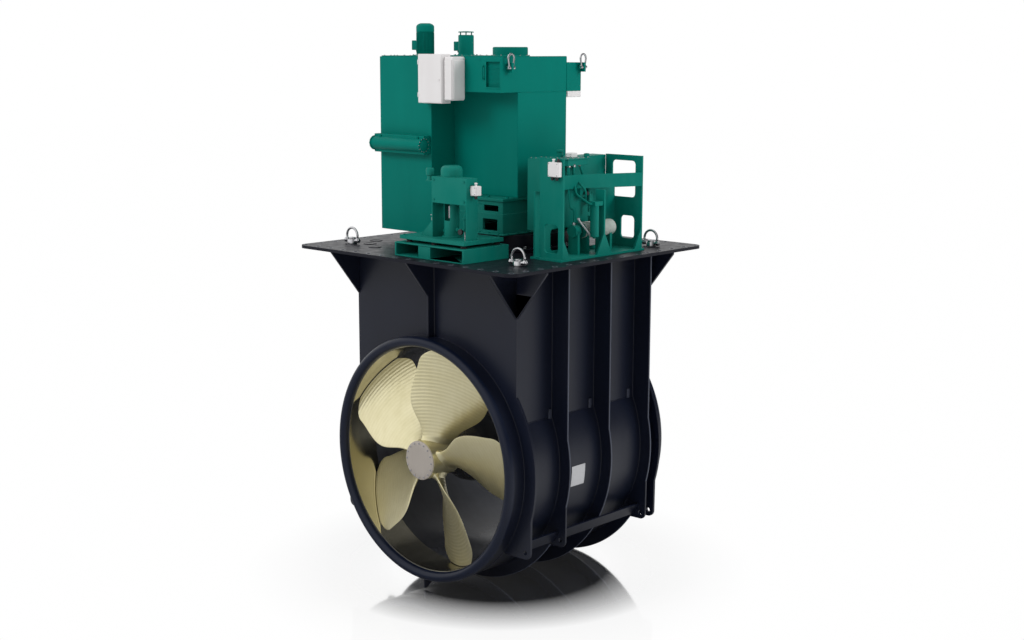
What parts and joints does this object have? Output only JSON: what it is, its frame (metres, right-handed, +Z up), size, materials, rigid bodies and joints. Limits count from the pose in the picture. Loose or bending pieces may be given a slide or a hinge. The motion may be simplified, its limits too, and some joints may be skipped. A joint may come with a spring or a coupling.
{
  "type": "tunnel thruster module",
  "caption": "Ship tunnel thruster module: bed plate over a stiffened tunnel with a bladed bronze propeller, and an electric motor, cooler and oil units on top.",
  "frame": {"origin": "centre of the bed plate's underside, which is the centre of its rectangle of edge bolts", "axes": "+Z up through the motor, tunnel along Y with the propeller at its -Y mouth, cooler on the -X side"},
  "size_m": [2.9, 2.78, 5.4468],
  "materials": {
    "hull_paint": "satin dark navy primer",
    "machinery_green": "satin green enamel",
    "bronze": "fine milled nickel aluminium bronze",
    "hub_steel": "satin",
    "machined_steel": "turned",
    "gear_steel": "ground",
    "galvanised": "bright zinc",
    "box_enamel": "light grey enamel",
    "black_rubber": "matt",
    "core_steel": "laminated",
    "fin_alloy": "bare",
    "tunnel_grey": "satin grey primer",
    "wear_steel": "machined band"
  },
  "bodies": {
    "thruster": {"bed_plate": "hull_paint", "trunk_side_walls": "hull_paint", "front_frame": "hull_paint", "web_frames": "hull_paint", "back_frame": "hull_paint", "hull_stiffeners": "hull_paint", "tunnel_tube": "tunnel_grey", "outer_casing": "hull_paint", "wear_band": "wear_steel", "gear_housing": "tunnel_grey", "tail_cover": "tunnel_grey", "seal_housing": "machined_steel", "shaft_tube": "hull_paint", "stem_flange": "hull_paint", "stem_flange_bolts": "galvanised", "rolling_bearings": "machined_steel", "motor_pedestal": "machinery_green", "motor_housing": "machinery_green", "motor_end_shields": "core_steel", "motor_stator": "core_steel", "head_duct": "machinery_green", "top_cover": "machinery_green", "cooler_housing": "machinery_green", "cooler_core": "fin_alloy", "water_header": "machinery_green", "fan_motors": "machinery_green", "control_cabinet": "box_enamel", "terminal_box": "box_enamel", "junction_boxes": "box_enamel", "hoist_bolts": "galvanised", "pump_unit_skid": "machinery_green", "vibration_mounts": "black_rubber", "pump_unit_frame": "machinery_green", "pump_unit_motor": "machinery_green", "power_pack_frame": "machinery_green", "power_pack_tank": "machinery_green", "power_pack_drive": "machinery_green"},
    "propeller_line": {"propeller": "bronze", "hub_cap": "hub_steel", "hub_cap_bolts": "galvanised", "propeller_shaft": "machined_steel", "bevel_wheel": "gear_steel"},
    "drive_line": {"bevel_pinion": "gear_steel", "drive_shaft": "machined_steel", "shaft_coupling": "core_steel", "motor_rotor": "machined_steel"},
    "fan_rotor_1": {"fan_wheel_1": "fin_alloy"},
    "fan_rotor_2": {"fan_wheel_2": "fin_alloy"},
    "pump_rotor": {"pump_unit_rotor": "machined_steel"},
    "pack_rotor": {"power_pack_rotor": "machined_steel"},
    "head_shackle_1": {"shackle_1": "galvanised"},
    "head_shackle_2": {"shackle_2": "galvanised"},
    "hoist_swivel_1": {"hoist_body_1": "galvanised"},
    "hoist_ring_1": {"hoist_bail_1": "galvanised"},
    "hoist_swivel_2": {"hoist_body_2": "galvanised"},
    "hoist_ring_2": {"hoist_bail_2": "galvanised"},
    "hoist_swivel_3": {"hoist_body_3": "galvanised"},
    "hoist_ring_3": {"hoist_bail_3": "galvanised"},
    "hoist_swivel_4": {"hoist_body_4": "galvanised"},
    "hoist_ring_4": {"hoist_bail_4": "galvanised"}
  },
  "joints": [
    {"name": "propeller_spin", "type": "hinge", "parent": "thruster", "child": "propeller_line", "pos_m": [0, -0.95, -1.95], "axis": [0, 1, 0], "continuous": true},
    {"name": "drive_spin", "type": "hinge", "parent": "thruster", "child": "drive_line", "pos_m": [0, 0.13, 0.34], "axis": [0, 0, 1], "continuous": true},
    {"name": "fan_1_spin", "type": "hinge", "parent": "thruster", "child": "fan_rotor_1", "pos_m": [-0.895, -0.158, 1.8], "axis": [0, 0, 1], "continuous": true},
    {"name": "fan_2_spin", "type": "hinge", "parent": "thruster", "child": "fan_rotor_2", "pos_m": [-0.895, 0.418, 1.8], "axis": [0, 0, 1], "continuous": true},
    {"name": "pump_spin", "type": "hinge", "parent": "thruster", "child": "pump_rotor", "pos_m": [0.33, -1.0028, 0.45], "axis": [0, 0, 1], "continuous": true},
    {"name": "pack_spin", "type": "hinge", "parent": "thruster", "child": "pack_rotor", "pos_m": [1.055, -0.05, 0.265], "axis": [0, 1, 0], "continuous": true},
    {"name": "shackle_1_swing", "type": "hinge", "parent": "thruster", "child": "head_shackle_1", "pos_m": [0.465, -0.353, 1.765], "axis": [0, 1, 0], "range_deg": [0, 150]},
    {"name": "shackle_2_swing", "type": "hinge", "parent": "thruster", "child": "head_shackle_2", "pos_m": [0.465, 0.678, 1.765], "axis": [0, 1, 0], "range_deg": [0, 150]},
    {"name": "hoist_1_swivel", "type": "hinge", "parent": "thruster", "child": "hoist_swivel_1", "pos_m": [-1.126, -0.958, 0.05], "axis": [0, 0, 1], "continuous": true},
    {"name": "hoist_1_swing", "type": "hinge", "parent": "hoist_swivel_1", "child": "hoist_ring_1", "pos_m": [-1.126, -0.958, 0.065], "axis": [1, 0, 0], "range_deg": [-88, 88]},
    {"name": "hoist_2_swivel", "type": "hinge", "parent": "thruster", "child": "hoist_swivel_2", "pos_m": [1.126, -0.958, 0.05], "axis": [0, 0, 1], "continuous": true},
    {"name": "hoist_2_swing", "type": "hinge", "parent": "hoist_swivel_2", "child": "hoist_ring_2", "pos_m": [1.126, -0.958, 0.065], "axis": [1, 0, 0], "range_deg": [-88, 88]},
    {"name": "hoist_3_swivel", "type": "hinge", "parent": "thruster", "child": "hoist_swivel_3", "pos_m": [-1.126, 0.958, 0.05], "axis": [0, 0, 1], "continuous": true},
    {"name": "hoist_3_swing", "type": "hinge", "parent": "hoist_swivel_3", "child": "hoist_ring_3", "pos_m": [-1.126, 0.958, 0.065], "axis": [1, 0, 0], "range_deg": [-88, 88]},
    {"name": "hoist_4_swivel", "type": "hinge", "parent": "thruster", "child": "hoist_swivel_4", "pos_m": [1.126, 0.958, 0.05], "axis": [0, 0, 1], "continuous": true},
    {"name": "hoist_4_swing", "type": "hinge", "parent": "hoist_swivel_4", "child": "hoist_ring_4", "pos_m": [1.126, 0.958, 0.065], "axis": [1, 0, 0], "range_deg": [-88, 88]}
  ],
  "couplings": [
    {"joint": "drive_spin", "follows": "propeller_spin", "ratio": -3.4615}
  ]
}
